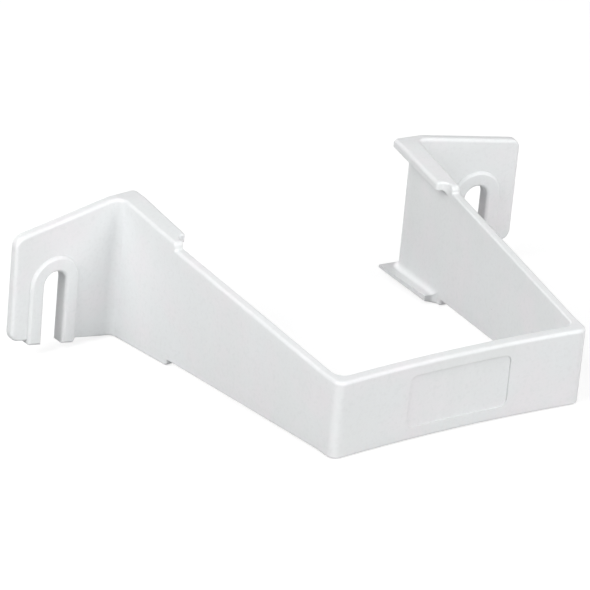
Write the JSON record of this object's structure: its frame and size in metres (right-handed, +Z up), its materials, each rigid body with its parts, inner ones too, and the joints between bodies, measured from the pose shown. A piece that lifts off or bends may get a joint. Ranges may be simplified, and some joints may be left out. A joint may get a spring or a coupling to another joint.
{
  "type": "downspout clip",
  "caption": "White moulded wall clip for a square downpipe: a bowed front plate, splayed arms and slotted screw ears.",
  "frame": {"origin": "on the wall, midway between the two ears, at half the height of the clip", "axes": "+X across the clip, +Y into the wall, +Z up along the downpipe"},
  "size_m": [0.1446, 0.0906, 0.037],
  "materials": {
    "white_plastic": "smooth moulded white, with a soft gloss"
  },
  "bodies": {
    "root": {"downspout_clip": "white_plastic"}
  },
  "joints": []
}
